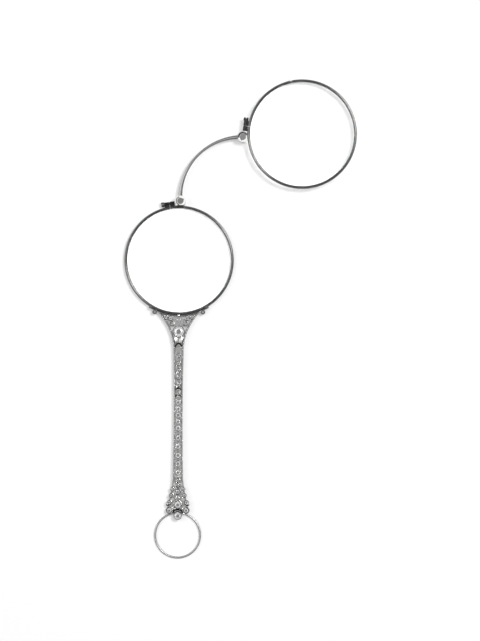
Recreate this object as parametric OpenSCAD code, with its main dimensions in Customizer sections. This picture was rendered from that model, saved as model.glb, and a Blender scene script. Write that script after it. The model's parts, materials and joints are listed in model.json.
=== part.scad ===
/* [Lenses and rims] */
// Outside diameter of each lens rim
rim_d = 38.5; // [36:0.5:42]
// Width of the rim's wire, seen from the front
rim_w = 1; // [0.9:0.05:1.2]
// Height of each rim, back to front
rim_h = 1.8; // [1.7:0.05:2.1]
// Depth of the groove that holds the glass
groove_d = 0.3; // [0.2:0.05:0.35]
// Thickness of the glass at its edge
glass_t = 1.2; // [0.9:0.1:1.4]
// How far each face of the glass swells in the middle
glass_swell = 0.2; // [0.05:0.05:0.25]
// Space between the two rims when they lie closed
rim_gap = 0.2; // [0.15:0.05:0.35]

/* [Folding bow] */
// Distance between the two hinge pivots
bow_span = 31.4; // [29:0.2:34]
// Space between the middle of the bow and the closed rims
bow_clear = 0.75; // [0.5:0.05:1.2]
// Width of the bow at its ends
bow_end_w = 1.55; // [1.3:0.05:1.8]
// Width of the bow at its middle
bow_mid_w = 0.95; // [0.8:0.05:1.3]
// Thickness of the bow, back to front
bow_t = 1.5; // [1.2:0.1:1.8]

/* [Hinges] */
// Distance from a rim's edge to its hinge pivot
pivot_out = 1.55; // [1.45:0.05:1.9]
// Angle at each pivot between the bow and the lens centre, open
open_angle = 137; // [130:1:144]
// Bearing of the first hinge round the fixed lens
hinge_bearing = 89; // [82:1:96]
// Radius of the hinge ears
ear_r = 1.85; // [1.75:0.05:2.1]
// Radius of the bow's knuckles
knuckle_r = 1.25; // [1.15:0.05:1.4]
// Radius of the hinge pins
pin_r = 0.45; // [0.35:0.05:0.5]
// Radius of the pins' drop-shaped heads
pin_head_r = 1.05; // [0.8:0.05:1.15]
// Wire diameter of the opening springs
spring_wire = 0.2; // [0.14:0.02:0.22]

/* [Closing screws] */
// Outside radius of the closing barrels
barrel_r = 0.62; // [0.55:0.02:0.7]
// Length of each closing barrel
barrel_l = 1.72; // [1.4:0.05:2]
// Gap between a rim's two ends
slit = 0.15; // [0.1:0.05:0.3]
// Radius of the closing screw's shank
screw_r = 0.34; // [0.28:0.02:0.4]
// Radius of the closing screw's head
screw_head_r = 0.85; // [0.75:0.05:0.88]
// Length of the closing screw's head
screw_head_l = 1.1; // [0.8:0.1:1.3]

/* [Handle] */
// Angle from straight down at which the handle's claws grip the rim
grip_angle = 31; // [28:1:35]
// Length over which the handle's head narrows to the shaft
flare_len = 16.9; // [15:0.5:19]
// Width of the shaft just below the head
neck_w = 3.52; // [3.3:0.05:3.9]
// Width of the shaft at its narrowest
waist_w = 3.04; // [2.9:0.05:3.3]
// Width of the foot at its widest
foot_w = 8.1; // [7.6:0.1:8.8]
// Length of the foot
foot_len = 12; // [11.6:0.1:13]
// Width of the milled side rails
rail_w = 0.4; // [0.3:0.05:0.45]
// Height of the side rails, back to front
rail_h = 1.75; // [1.6:0.05:1.8]
// Height of the pierced plate's back face
plate_z = 1; // [0.95:0.05:1.1]
// Thickness of the pierced plate
plate_t = 0.45; // [0.35:0.05:0.5]

/* [Stones] */
// Radius of the collets in the shaft's chain
chain_r = 1.08; // [0.95:0.01:1.1]
// Distance between the close-set stones
close_pitch = 2.27; // [2.22:0.01:2.5]
// Distance between the linked stones
link_pitch = 3.05; // [2.8:0.05:3.4]
// Distance between the lattice stones
lattice_pitch = 2.45; // [2.3:0.05:2.8]
// Radius of the large collet in the head
main_r = 1.87; // [1.6:0.05:1.95]
// Radius of the finial's collet
finial_r = 1.34; // [1.2:0.02:1.4]
// Height of the shaft's collets above the table
collet_top = 2; // [1.9:0.05:2.2]
// Height of the head's collets, which the moving rim passes over
head_top = 1.76; // [1.7:0.02:1.8]

/* [Catch] */
// Radius of the catch button's cap
cap_r = 0.55; // [0.45:0.05:0.6]
// Distance of the catch from the rim's edge
catch_out = 0.12; // [0.1:0.02:0.3]
// How far the button is pressed
press = 0.3; // [0.2:0.05:0.3]

/* [Ring] */
// Radius of the suspension ring, to the middle of its wire
ring_r = 7.9; // [6:0.1:10]
// Diameter of the ring's wire
ring_wire = 0.7; // [0.5:0.05:0.75]
// Length of the bail that holds the ring
bail_l = 1.2; // [0.8:0.1:1.4]
// Wall of the bail
bail_wall = 0.2; // [0.15:0.05:0.3]

/* [Hidden] */

platinum = "gainsboro";
bright = "whitesmoke";
steel = "slategray";
glass = "lightcyan";
stone = "azure";

// Clearances: soldered or pressed seats, running fits, faces that slide, and the bow between its ears
seat = 0.01;
run = 0.03;
leaf_gap = 0.05;
pass_gap = 0.15;
glass_fit = 0.06;

// The two lens centres, the two pivots and how far each hinge closes
rim_r = rim_d / 2;
rim_in = rim_r - rim_w;
pivot_rad = rim_r + pivot_out;
stack = 2 * rim_h + rim_gap;
function polar(r, a) = [r * cos(a), r * sin(a)];
pivot_1 = polar(pivot_rad, hinge_bearing);
bow_bearing = hinge_bearing + 180 + open_angle;
pivot_2 = pivot_1 + polar(bow_span, bow_bearing);
moving_bearing = bow_bearing + open_angle;
lens_2 = pivot_2 - polar(pivot_rad, moving_bearing);
closing_turn = open_angle - acos(bow_span / 2 / pivot_rad);

// The catch, straight below the fixed lens, and its place on the moving rim when open
boss_r = cap_r + 0.07;
catch_rad = rim_r + catch_out;
lug_bearing = 2 * closing_turn - 90;

// The bow's middle line is an arc that clears the closed rims
bow_rise = rim_r + bow_clear + bow_mid_w / 2 - sqrt(pow(pivot_rad, 2) - pow(bow_span / 2, 2));
bow_rad = (pow(bow_span / 2, 2) + pow(bow_rise, 2)) / (2 * bow_rise);
bow_half = asin(bow_span / 2 / bow_rad);
bow_z = (stack - bow_t) / 2;
ear_t = bow_z - leaf_gap;

// The handle hangs from the fixed rim. A drop is a distance below the fixed lens centre
head_start = rim_r * cos(grip_angle + 4);
flare_end = head_start + flare_len;
neck_drop = flare_end - 2.3;
lattice_start = flare_end + 3.6;
chevron_drop = lattice_start + 3 * lattice_pitch + 1.75;
close_start = chevron_drop + 4.5;
link_start = close_start + 4 * close_pitch + 3.4;
foot_start = link_start + 4 * link_pitch + 1.7;
foot_end = foot_start + foot_len;
finial_drop = foot_end + 1.5;
ring_drop = foot_end + 0.5;
shaft_mid = (flare_end + foot_start) / 2;
main_drop = rim_r + 5.75;
claw_w = 2 * rim_r * sin(grip_angle);
flare_curve = 2.3;
foot_curve = 1.4;

// Rings of the cradle and the scroll terminals
cradle_out = rim_r + 0.38;
terminal_r = 0.8;
terminal_rad = rim_r + seat + terminal_r;
terminal_angle = grip_angle - 6;

// The ring's wire lies in the bail, with its far side on the table
bail_z = bail_wall + run + 0.01 + ring_wire / 2;
bail_bore = ring_wire / 2 + run + 0.03;
ring_tilt = asin((bail_z - ring_wire / 2) / (2 * ring_r));

// The frame's origin is the middle of the whole open lorgnette, on the table
x_low = -rim_r;
x_high = lens_2[0] + rim_r;
y_high = lens_2[1] + max(rim_r, catch_rad * sin(lug_bearing) + boss_r);
y_low = -ring_drop - 2 * ring_r * cos(ring_tilt) - ring_wire / 2;
module placed() translate([-(x_low + x_high) / 2, -(y_low + y_high) / 2, 0]) children();

// A rim's own frame has the lens centre at 0 and the pivot straight above it.
// The moving rim is the same set of pieces turned over.
module on_fixed() placed() rotate([0, 0, hinge_bearing - 90]) children();
module on_moving() placed() translate([lens_2[0], lens_2[1], stack])
    rotate([0, 0, moving_bearing - 90]) rotate([0, 180, 0]) children();
module at_drop(x, drop, z = 0) translate([x, -drop, z]) children();
module both_sides() {
    children();
    mirror([1, 0, 0]) children();
}

// Flat shapes
module sector(r_in, r_out, a0, a1, steps = 16) {
    polygon(concat(
        [for (i = [0 : steps]) polar(r_out, a0 + (a1 - a0) * i / steps)],
        [for (i = [steps : -1 : 0]) polar(r_in, a0 + (a1 - a0) * i / steps)]));
}
module oval(rx, ry, tilt = 0) {
    rotate(tilt) polygon([for (a = [0 : 20 : 340]) [rx * cos(a), ry * sin(a)]]);
}

// Half the handle's width at a drop: a flared head, a slim waist and a flared foot
function shaft_half(d) = waist_w / 2
    + (neck_w - waist_w) / 2 * pow((d - shaft_mid) / (shaft_mid - flare_end), 2);
function handle_half(d) =
    d < flare_end
        ? shaft_half(max(d, flare_end)) + (claw_w - neck_w) / 2
            * pow(1 - (d - head_start) / flare_len, flare_curve)
    : d > foot_start
        ? shaft_half(foot_start) + (foot_w / 2 - shaft_half(foot_start))
            * pow((d - foot_start) / foot_len, foot_curve)
    : shaft_half(d);
function slope(d) = (handle_half(d + 0.02) - handle_half(d - 0.02)) / 0.04;
// A point on the right edge, moved inwards along the edge's normal
function edge(d, inset = 0) =
    let (s = slope(d), n = sqrt(1 + s * s))
    [handle_half(d) - inset / n, -d - inset * s / n];
function stations(d0, d1, n) = [for (i = [0 : n]) d0 + (d1 - d0) * i / n];
// The handle's outline between two drops
module outline(d0, d1, inset = 0, n = 20) {
    right = [for (d = stations(d0, d1, n)) edge(d, inset)];
    polygon(concat(right, [for (i = [len(right) - 1 : -1 : 0]) [-right[i][0], right[i][1]]]));
}

// A rim is a half-round wire with a groove inside, cut through at its closing screw
rim_belly = 0.22;
rim_edge = 0.1;
function belly(side, n = 6) = [for (i = [0 : n])
    let (v = side * (1 - 2 * i / n))
    [rim_r - rim_belly * v * v, rim_h / 2 * (1 + v)]];
module rim_profile() {
    mid = rim_h / 2;
    polygon(concat(
        belly(-1),
        [[rim_in + rim_edge, rim_h], [rim_in, rim_h - rim_edge],
         [rim_in, mid + groove_d], [rim_in + groove_d, mid], [rim_in, mid - groove_d],
         [rim_in, rim_edge], [rim_in + rim_edge, 0]]));
}
barrel_rad = rim_r + 0.35 + barrel_r;
barrel_from = ear_r + 0.2;
block_angle = asin((barrel_from + barrel_l + slit / 2) / barrel_rad);
module on_block() rotate([0, 0, block_angle]) translate([0, barrel_rad, rim_h / 2]) children();
module along_x(x0, x1, r) translate([x0, 0, 0]) rotate([0, 90, 0])
    cylinder(r = r, h = x1 - x0, $fn = 48);

module lens_rim(catch_at, claws = []) {
    color(platinum) difference() {
        rotate_extrude($fn = 180) rim_profile();
        for (a = claws) rotate([0, 0, a]) claw(seat);
        rotate([0, 0, block_angle]) translate([-slit / 2, rim_in - 1, -1])
            cube([slit, rim_w + 2, rim_h + 2]);
        rotate([0, 0, catch_at]) translate([catch_rad, 0, -1])
            cylinder(r = boss_r + seat, h = rim_h + 2, $fn = 48);
    }
}

// A claw lies in a notch across the rim's front edge and holds the rim to the handle
claw_half = 1.5;
claw_deep = 0.3;
claw_in = rim_r - 0.75;
claw_out = rim_r + 0.45;
module claw(gap = 0) {
    turn = gap / rim_r * 180 / PI;
    translate([0, 0, rim_h - claw_deep - gap]) linear_extrude(claw_deep + 2 * gap)
        sector(claw_in - gap, claw_out, -claw_half - turn, claw_half + turn, 4);
}

module lens_glass() {
    mid = rim_h / 2;
    r = rim_in - glass_fit;
    half = glass_t / 2;
    swell = [for (i = [0 : 8]) let (u = i / 8) [r * u, half + glass_swell * (1 - u * u)]];
    color(glass, 0.35) rotate_extrude($fn = 180) translate([0, mid]) polygon(concat(
        [for (i = [0 : 8]) [swell[i][0], -swell[i][1]]],
        [[r, -groove_d], [r + groove_d, 0], [r, groove_d]],
        [for (i = [8 : -1 : 0]) swell[i]]));
}

// One barrel on each end of the split rim, each on its own foot
module closing_barrels() {
    base_w = 2 * barrel_r * 0.75;
    color(platinum) difference() {
        on_block() for (x = [slit / 2, -slit / 2 - barrel_l]) {
            along_x(x, x + barrel_l, barrel_r);
            translate([x, -barrel_r - 0.5, -base_w / 2]) cube([barrel_l, barrel_r + 0.5, base_w]);
        }
        translate([0, 0, -1]) cylinder(r = rim_r + seat, h = rim_h + 2, $fn = 180);
        on_block() along_x(-barrel_l - slit, barrel_l + slit, screw_r + run);
    }
}

module closing_screw() {
    shank_end = slit / 2 + barrel_l - 0.1;
    head_in = -slit / 2 - barrel_l - seat;
    slot_w = screw_head_r * 0.3;
    color(steel) on_block() difference() {
        union() {
            along_x(head_in - 0.05, shank_end, screw_r);
            along_x(head_in - screw_head_l, head_in, screw_head_r);
        }
        translate([head_in - screw_head_l - 1, -slot_w / 2, -screw_head_r - 1])
            cube([1 + screw_head_l * 0.35, slot_w, 2 * screw_head_r + 2]);
    }
}

// Two ears joined by a curled wall, which also stops the bow when the lorgnette is open
wall_in = knuckle_r + 0.1;
bow_leaves = 270 + open_angle - 360 + bow_half;
wall_a0 = bow_leaves + asin((bow_end_w / 2 + pass_gap) / wall_in);
wall_a1 = 212;
module hinge_fork() {
    color(platinum) translate([0, pivot_rad, 0]) difference() {
        union() {
            cylinder(r = ear_r, h = ear_t, $fn = 72);
            translate([-ear_r, -pivot_out - 0.5, 0]) cube([2 * ear_r, pivot_out + 0.5, ear_t]);
            translate([0, 0, stack - ear_t]) cylinder(r = ear_r, h = ear_t, $fn = 72);
            rotate_extrude(angle = wall_a1 - wall_a0, start = wall_a0, $fn = 72)
                translate([wall_in, 0]) square([ear_r - wall_in, stack]);
        }
        translate([0, -pivot_rad, -1]) cylinder(r = rim_r + seat, h = stack + 2, $fn = 180);
        translate([0, -pivot_rad, rim_h + rim_gap / 2])
            cylinder(r = rim_r + pass_gap, h = stack, $fn = 180);
        translate([0, 0, -1]) cylinder(r = pin_r + seat, h = stack + 2, $fn = 48);
    }
}

// A pin with a drop-shaped head, its point turned along the bow
pin_head_t = 0.15;
module hinge_pin(point) {
    color(steel) {
        cylinder(r = pin_r, h = stack + pin_head_t, $fn = 48);
        translate([0, 0, stack + seat]) linear_extrude(pin_head_t) {
            circle(r = pin_head_r, $fn = 48);
            rotate(point - 45) square(pin_head_r * 0.95);
        }
    }
}

// A round wire wound into an open coil
module coil(mean_r, wire_r, turns, height, sides = 6, per_turn = 12) {
    n = turns * per_turn;
    rise = (height - 2 * wire_r) / n;
    pts = [for (i = [0 : n], s = [0 : sides - 1])
        let (a = 360 * i / per_turn, b = 360 * s / sides, r = mean_r + wire_r * cos(b))
        [r * cos(a), r * sin(a), wire_r + rise * i + wire_r * sin(b)]];
    walls = [for (i = [0 : n - 1], s = [0 : sides - 1])
        let (p = i * sides + s, q = i * sides + (s + 1) % sides)
        each [[p, q, p + sides], [q, q + sides, p + sides]]];
    ends = [[for (s = [sides - 1 : -1 : 0]) s],
            [for (s = [0 : sides - 1]) n * sides + s]];
    polyhedron(concat(pts), concat(walls, ends));
}

spring_room = 0.9;
spring_well = knuckle_r - 0.25;
module hinge_spring() {
    mean = (pin_r + run + spring_well) / 2;
    color(steel) translate([0, 0, bow_z + bow_t - spring_room + leaf_gap])
        coil(mean, spring_wire / 2, 3, spring_room - leaf_gap);
}

// The bow's bar is an oval section carried along its arc, wide at both ends
module bow_bar(rings = 24, sides = 12) {
    pts = [for (i = [0 : rings], s = [0 : sides - 1])
        let (t = bow_half * (1 - 2 * i / rings),
             w = bow_mid_w + (bow_end_w - bow_mid_w) * pow(abs(t) / bow_half, 2),
             b = 360 * s / sides,
             r = bow_rad + w / 2 * sign(cos(b)) * pow(abs(cos(b)), 0.7))
        [r * sin(t), bow_rise - bow_rad + r * cos(t),
         (bow_t / 2 - leaf_gap) * sign(sin(b)) * pow(abs(sin(b)), 0.7)]];
    walls = [for (i = [0 : rings - 1], s = [0 : sides - 1])
        let (p = i * sides + s, q = i * sides + (s + 1) % sides)
        each [[p, q, p + sides], [q, q + sides, p + sides]]];
    ends = [[for (s = [sides - 1 : -1 : 0]) s],
            [for (s = [0 : sides - 1]) rings * sides + s]];
    polyhedron(pts, concat(walls, ends));
}

module bow() {
    middle = (pivot_1 + pivot_2) / 2;
    color(bright) placed() translate([middle[0], middle[1], 0]) rotate([0, 0, bow_bearing])
    difference() {
        union() {
            translate([0, 0, stack / 2]) bow_bar();
            for (x = [-bow_span / 2, bow_span / 2])
                translate([x, 0, bow_z]) cylinder(r = knuckle_r, h = bow_t, $fn = 72);
        }
        for (x = [-bow_span / 2, bow_span / 2]) {
            translate([x, 0, 0]) cylinder(r = pin_r + run, h = stack, $fn = 48);
            translate([x, 0, bow_z + bow_t - spring_room]) cylinder(r = spring_well, h = stack, $fn = 48);
        }
    }
}

// The fixed side
fixed_catch = -90 - (hinge_bearing - 90);
module fixed_rim() on_fixed() lens_rim(fixed_catch, [fixed_catch - grip_angle, fixed_catch + grip_angle]);
module fixed_lens() on_fixed() lens_glass();
module fixed_closing_barrels() on_fixed() closing_barrels();
module fixed_closing_screw() on_fixed() closing_screw();
module fixed_hinge_fork() on_fixed() hinge_fork();
module fixed_hinge_pin() placed() translate([pivot_1[0], pivot_1[1], 0]) hinge_pin(bow_bearing - 20);
module fixed_hinge_spring() placed() translate([pivot_1[0], pivot_1[1], 0]) hinge_spring();

// The moving side. Turned over, a bearing seen from the front is counted the other way
moving_catch = 180 - (lug_bearing - (moving_bearing - 90));
module moving_rim() on_moving() lens_rim(moving_catch);
module moving_lens() on_moving() lens_glass();
module moving_closing_barrels() on_moving() closing_barrels();
module moving_closing_screw() on_moving() closing_screw();
module moving_hinge_fork() on_moving() hinge_fork();
module moving_hinge_pin() placed() translate([pivot_2[0], pivot_2[1], 0]) hinge_pin(bow_bearing + 200);
module moving_hinge_spring() placed() translate([pivot_2[0], pivot_2[1], 0]) hinge_spring();

// The button's cap stands a little above the underside of the moving rim's lug.
// As the lorgnette closes the lug rides over the cap, which springs up into its dimple.
snap = 0.07;
cap_h = 0.35;
cap_top = rim_h + rim_gap - 0.05;
cap_z = cap_top - cap_h;
lug_z = cap_top - snap;
dimple_r = 0.34;
dimple_d = 0.2;
module catch_lug() {
    p = lens_2 + polar(catch_rad, lug_bearing);
    color(platinum) placed() translate([p[0], p[1], lug_z]) difference() {
        cylinder(r = boss_r, h = rim_h * 0.65, $fn = 48);
        translate([0, 0, -1]) cylinder(r = dimple_r, h = 1 + dimple_d, $fn = 32);
    }
}

// The button's stem runs in a bore in the cradle's boss, with a foot below that stops it
boss_h = 1;
stem_r = 0.26;
stem_foot_r = 0.42;
stem_foot_t = 0.15;
foot_z = press + leaf_gap;
well_h = foot_z + stem_foot_t + run;
module catch_button() {
    dome = (cap_r * cap_r + cap_h * cap_h) / (2 * cap_h);
    color(bright) placed() at_drop(0, catch_rad) {
        translate([0, 0, foot_z]) cylinder(r = stem_foot_r, h = stem_foot_t, $fn = 48);
        translate([0, 0, foot_z]) cylinder(r = stem_r, h = cap_z - foot_z + 0.05, $fn = 48);
        translate([0, 0, cap_z]) intersection() {
            cylinder(r = cap_r, h = cap_h, $fn = 48);
            translate([0, 0, cap_h - dome]) sphere(r = dome, $fn = 48);
        }
    }
}
module catch_spring() {
    color(steel) placed() at_drop(0, catch_rad, boss_h + seat)
        coil((stem_r + boss_r) / 2 - 0.02, 0.05, 3, cap_z - boss_h - 2 * seat);
}

// The cradle follows the rim, holds the catch in its middle and ends in two scrolls and claws
module rim_cradle() {
    color(platinum) placed() difference() {
        union() {
            linear_extrude(rail_h) {
                sector(rim_r + seat, cradle_out, -90 - grip_angle, -90 + grip_angle, 48);
                for (side = [-1, 1]) {
                    rotate(-90 + side * terminal_angle) translate([terminal_rad, 0]) difference() {
                        circle(r = terminal_r, $fn = 48);
                        circle(r = terminal_r * 0.42, $fn = 32);
                    }
                    rotate(-90 + side * grip_angle)
                        sector(rim_r + seat, claw_out, -claw_half, claw_half, 4);
                }
            }
            for (side = [-1, 1]) rotate([0, 0, -90 + side * grip_angle]) claw();
            at_drop(0, catch_rad) cylinder(r = boss_r, h = boss_h, $fn = 48);
        }
        at_drop(0, catch_rad, boss_h) cylinder(r = boss_r, h = rail_h, $fn = 48);
        at_drop(0, catch_rad, -1) cylinder(r = stem_r + run, h = boss_h + 2, $fn = 48);
        at_drop(0, catch_rad, -1) cylinder(r = stem_foot_r + run, h = 1 + well_h, $fn = 48);
    }
}

// What the pieces between the rails must leave free for the cradle
module cradle_room(gap = seat) {
    circle(r = cradle_out + gap, $fn = 180);
    for (side = [-1, 1])
        rotate(-90 + side * terminal_angle) translate([terminal_rad, 0])
            circle(r = terminal_r + gap, $fn = 48);
    translate([0, -catch_rad]) circle(r = boss_r + gap, $fn = 48);
}

rail_top = head_start + 1.5;
rail_foot = foot_start + 1.2;
module side_rails() {
    rail = stations(rail_top, rail_foot, 64);
    color(platinum) placed() linear_extrude(rail_h) both_sides() difference() {
        polygon(concat([for (d = rail) edge(d)],
                       [for (i = [len(rail) - 1 : -1 : 0]) edge(rail[i], rail_w)]));
        cradle_room();
    }
}

// The strip along the right edge that a rail's lower end takes up
module rail_end(from) {
    path = stations(from, rail_foot, 6);
    polygon(concat([for (d = path) edge(d, -0.2)], [for (i = [6 : -1 : 0]) edge(path[i], rail_w + seat)]));
}

// A collet is a tapered tube with a rolled lip, and a stone sits in it
module collet(r, z0, z1) {
    rotate_extrude($fn = 48) polygon([
        [r * 0.62, z0], [r * 0.86, z0], [r, z0 + (z1 - z0) * 0.45], [r, z1 - 0.1],
        [r - 0.07, z1], [r * 0.84, z1], [r * 0.82, z1 - 0.2]]);
}
// A round brilliant: table, star, kite and girdle facets above, and a pointed back
module brilliant(r, z1) {
    g = r * 0.8 - seat;
    zg = z1 - 0.17;
    up = 0.25;
    down = r * 0.6;
    table = [for (k = [0 : 7]) [g * 0.55 * cos(45 * k), g * 0.55 * sin(45 * k), zg + up]];
    crown = [for (k = [0 : 7])
        [g * 0.8 * cos(45 * k + 22.5), g * 0.8 * sin(45 * k + 22.5), zg + up * 0.6]];
    girdle = [for (j = [0 : 15]) [g * cos(22.5 * j), g * sin(22.5 * j), zg]];
    culet = [[0, 0, zg - down]];
    pts = concat(table, crown, girdle, culet);
    faces = concat(
        [[for (k = [7 : -1 : 0]) k]],
        [for (k = [0 : 7]) let (n = (k + 1) % 8, p = (k + 7) % 8, j = 16 + 2 * k)
            each [
                [k, n, 8 + k],
                [k, 8 + k, j], [k, j, 8 + p],
                [8 + k, j + 1, j], [8 + k, 16 + (2 * k + 2) % 16, j + 1],
                [32, j, j + 1], [32, j + 1, 16 + (2 * k + 2) % 16]]]);
    polyhedron(pts, faces);
}
// Stones are listed as [x, drop, radius]
module collets(list, z0, z1) color(platinum) placed()
    for (s = list) at_drop(s[0], s[1]) collet(s[2], z0, z1);
module diamonds(list, z1) color(stone) placed()
    for (s = list) at_drop(s[0], s[1]) brilliant(s[2], z1);
module stone_room(list) for (s = list) at_drop(s[0], s[1]) circle(r = s[2] + seat, $fn = 48);
function pairs(list) = [for (s = list) each [s, [-s[0], s[1], s[2]]]];

small = 0.68;
corner = edge(rim_r + 1.3, rail_w + small + leaf_gap);
head_list = pairs([
    [corner[0], -corner[1], small], [corner[0] * 0.62, rim_r + 1.1, small + 0.1],
    [corner[0] * 0.49, rim_r + 3.1, small]]);
main_list = [[0, main_drop, main_r]];
lattice_list = concat([[0, flare_end + 0.75, small]],
    [for (i = [0 : 3]) [0, lattice_start + i * lattice_pitch, small + 0.05]],
    [[0, chevron_drop + 1.3, small + 0.05]]);
close_list = [for (i = [0 : 4]) [0, close_start + i * close_pitch, chain_r]];
link_list = [for (i = [0 : 4]) [0, link_start + i * link_pitch, chain_r]];
chain_list = concat(close_list, link_list);
link_drops = concat([(close_list[4][1] + link_start) / 2],
    [for (i = [0 : 3]) link_start + (i + 0.5) * link_pitch]);
// The foot's stones lie at shares of its width and length
function in_foot(across, down, r) = [foot_w * across, foot_start + foot_len * down, r];
foot_list = concat(
    [in_foot(0, 0.092, 0.62), in_foot(0, 0.229, 0.7), in_foot(0, 0.425, 0.85), in_foot(0, 0.804, 1.3)],
    pairs([in_foot(0.24, 0.346, 0.62), in_foot(0.29, 0.533, 0.68),
           in_foot(0.375, 0.7375, 0.75), in_foot(0.37, 0.971, 0.95)]));
finial_list = [[0, finial_drop, finial_r]];

// The head's plate, pierced round its scrolls, its large stone and a slot under the catch
module head_plate() {
    color(platinum) placed() translate([0, 0, plate_z]) linear_extrude(plate_t) difference() {
        outline(rail_top, neck_drop, rail_w + seat, 28);
        cradle_room();
        stone_room(head_list);
        stone_room(main_list);
        at_drop(0, rim_r + 1.75) oval(0.27, 0.8);
        both_sides() {
            at_drop(1.5, rim_r + 1.15) oval(0.45, 0.3, 8);
            at_drop(4.1, rim_r + 1.75) oval(0.3, 0.5, 40);
            at_drop(1.15, rim_r + 2.4) oval(0.3, 0.6, -12);
            at_drop(3.4, rim_r + 2.6) oval(0.3, 0.55, -50);
            at_drop(0.72, rim_r + 3.5) oval(0.28, 0.3);
            difference() {
                polygon(concat(
                    [for (d = stations(main_drop - 1.6, main_drop + 3, 8)) edge(d, rail_w + 0.3)],
                    [[0.55, -main_drop - 3], [0.55, -main_drop + 1.6]]));
                at_drop(0, main_drop) circle(r = main_r + 0.25, $fn = 48);
            }
        }
    }
}

// Raised scrollwork on the head's plate: a curl round each small stone and a leaf between them
scroll_h = 0.22;
module head_scrolls() {
    line = 0.26;
    color(platinum) placed() translate([0, 0, plate_z + plate_t + seat])
    linear_extrude(scroll_h) difference() {
        both_sides() {
            for (i = [1, 2]) let (s = head_list[2 * i])
                at_drop(s[0], s[1]) sector(s[2] + seat, s[2] + seat + line, -60 - 70 * i, 150 - 60 * i, 20);
            at_drop(4.35, rim_r + 1.35) oval(0.24, 0.6, 48);
            at_drop(0.62, rim_r + 1.7) oval(0.16, 0.75, 8);
        }
        cradle_room();
        stone_room(head_list);
    }
}

// A pair of leaves and a chevron where the head meets the shaft
leaf_drop = flare_end - 4.2;
module neck_leaves() {
    color(platinum) placed() translate([0, 0, plate_z + plate_t + seat]) linear_extrude(scroll_h + 0.05) {
        both_sides() difference() {
            at_drop(0.88, leaf_drop) oval(0.66, 1.45, 16);
            at_drop(0.95, leaf_drop + 0.1) oval(0.14, 0.8, 16);
        }
        both_sides() polygon([
            [0, -leaf_drop - 1.15], [shaft_half(flare_end) - rail_w - 0.1, -leaf_drop - 1.95],
            [shaft_half(flare_end) - rail_w - 0.1, -leaf_drop - 2.25], [0, -leaf_drop - 1.5]]);
    }
}

// The upper shaft: two long windows, then a lattice round small stones, then two chevrons
plate_split = 0.02;
module shaft_lattice() {
    color(platinum) placed() translate([0, 0, plate_z]) linear_extrude(plate_t) difference() {
        outline(neck_drop + plate_split, close_start - chain_r - 0.2, rail_w + seat, 16);
        stone_room(lattice_list);
        stone_room([close_list[0]]);
        both_sides() {
            at_drop(0.78, flare_end + 0.7) oval(0.34, 1.75);
            for (i = [0 : 2]) at_drop(0.78, lattice_start + (i + 0.5) * lattice_pitch) oval(0.27, 0.72, 14);
            at_drop(0.8, chevron_drop + 1.3) oval(0.2, 0.5);
        }
    }
    color(platinum) placed() translate([0, 0, plate_z + plate_t - 0.05]) linear_extrude(scroll_h) {
        for (d = [chevron_drop, chevron_drop + 2.35]) both_sides()
            polygon([[0, -d + 0.18], [1.05, -d - 0.35], [1.05, -d - 0.62], [0, -d - 0.12]]);
    }
}

// Small crosses that tie the linked stones to each other and to the rails
link_arm = 0.2;
link_post = 0.3;
link_reach = 0.7;
module link_cross(d) {
    arm = shaft_half(d) - rail_w - seat;
    quarter = [[link_post, link_reach], [link_post, link_arm], [arm, link_arm]];
    right = concat(quarter, [for (i = [2 : -1 : 0]) [quarter[i][0], -quarter[i][1]]]);
    at_drop(0, d) polygon(concat(right, [for (i = [5 : -1 : 0]) [-right[i][0], right[i][1]]]));
}
module shaft_links() {
    color(platinum) placed() translate([0, 0, plate_z]) for (d = link_drops)
        linear_extrude(plate_t) difference() {
            link_cross(d);
            stone_room(chain_list);
        }
}

// The foot's plate spreads round its stones and ends in two lobes and the finial's tab
lobe = foot_list[len(foot_list) - 2];
module in_foot_at(across, down) at_drop(foot_w * across, foot_start + foot_len * down) children();
tab_w = 4.4;
module plate_layer() translate([0, 0, plate_z]) linear_extrude(plate_t) children();
module cut_layer() translate([0, 0, plate_z - 1]) linear_extrude(plate_t + 2) children();
module foot_plate() {
    color(platinum) placed() difference() {
        union() {
            plate_layer() outline(foot_start - 0.1, foot_end, 0, 20);
            both_sides() plate_layer() at_drop(lobe[0], lobe[1]) circle(r = lobe[2] + 0.2, $fn = 48);
            plate_layer() at_drop(-tab_w / 2, finial_drop - 0.4) square([tab_w, 2]);
            plate_layer() at_drop(0, finial_drop) circle(r = finial_r + 0.06, $fn = 48);
        }
        both_sides() cut_layer() rail_end(foot_start - 0.2);
        cut_layer() {
            stone_room(foot_list);
            stone_room(finial_list);
            stone_room([link_list[4]]);
        }
        both_sides() cut_layer() {
            in_foot_at(0.154, 0.204) oval(0.32, 0.55, 8);
            in_foot_at(0.173, 0.417) oval(0.26, 0.6, 8);
            in_foot_at(0.228, 0.646) oval(0.5, 0.5);
            at_drop(lobe[0], lobe[1]) sector(lobe[2] + 0.55, lobe[2] + 0.85, 62, 140, 10);
        }
        cut_layer() at_drop(0, finial_drop) sector(finial_r + 0.14, finial_r + 0.42, 42, 138, 12);
    }
}

module head_collets() collets(head_list, plate_z, head_top);
module head_diamonds() diamonds(head_list, head_top);
main_z = plate_z - 0.6;
module main_collet() collets(main_list, main_z, head_top);
module main_diamond() diamonds(main_list, head_top);
module lattice_collets() collets(lattice_list, plate_z, collet_top - 0.12);
module lattice_diamonds() diamonds(lattice_list, collet_top - 0.12);
module shaft_collets() collets(chain_list, plate_z - 0.2, collet_top);
module shaft_diamonds() diamonds(chain_list, collet_top);
module foot_collets() collets(foot_list, plate_z, collet_top);
module foot_diamonds() diamonds(foot_list, collet_top);
module finial_collet() collets(finial_list, plate_z, collet_top + 0.1);
module finial_diamond() diamonds(finial_list, collet_top + 0.1);

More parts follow.
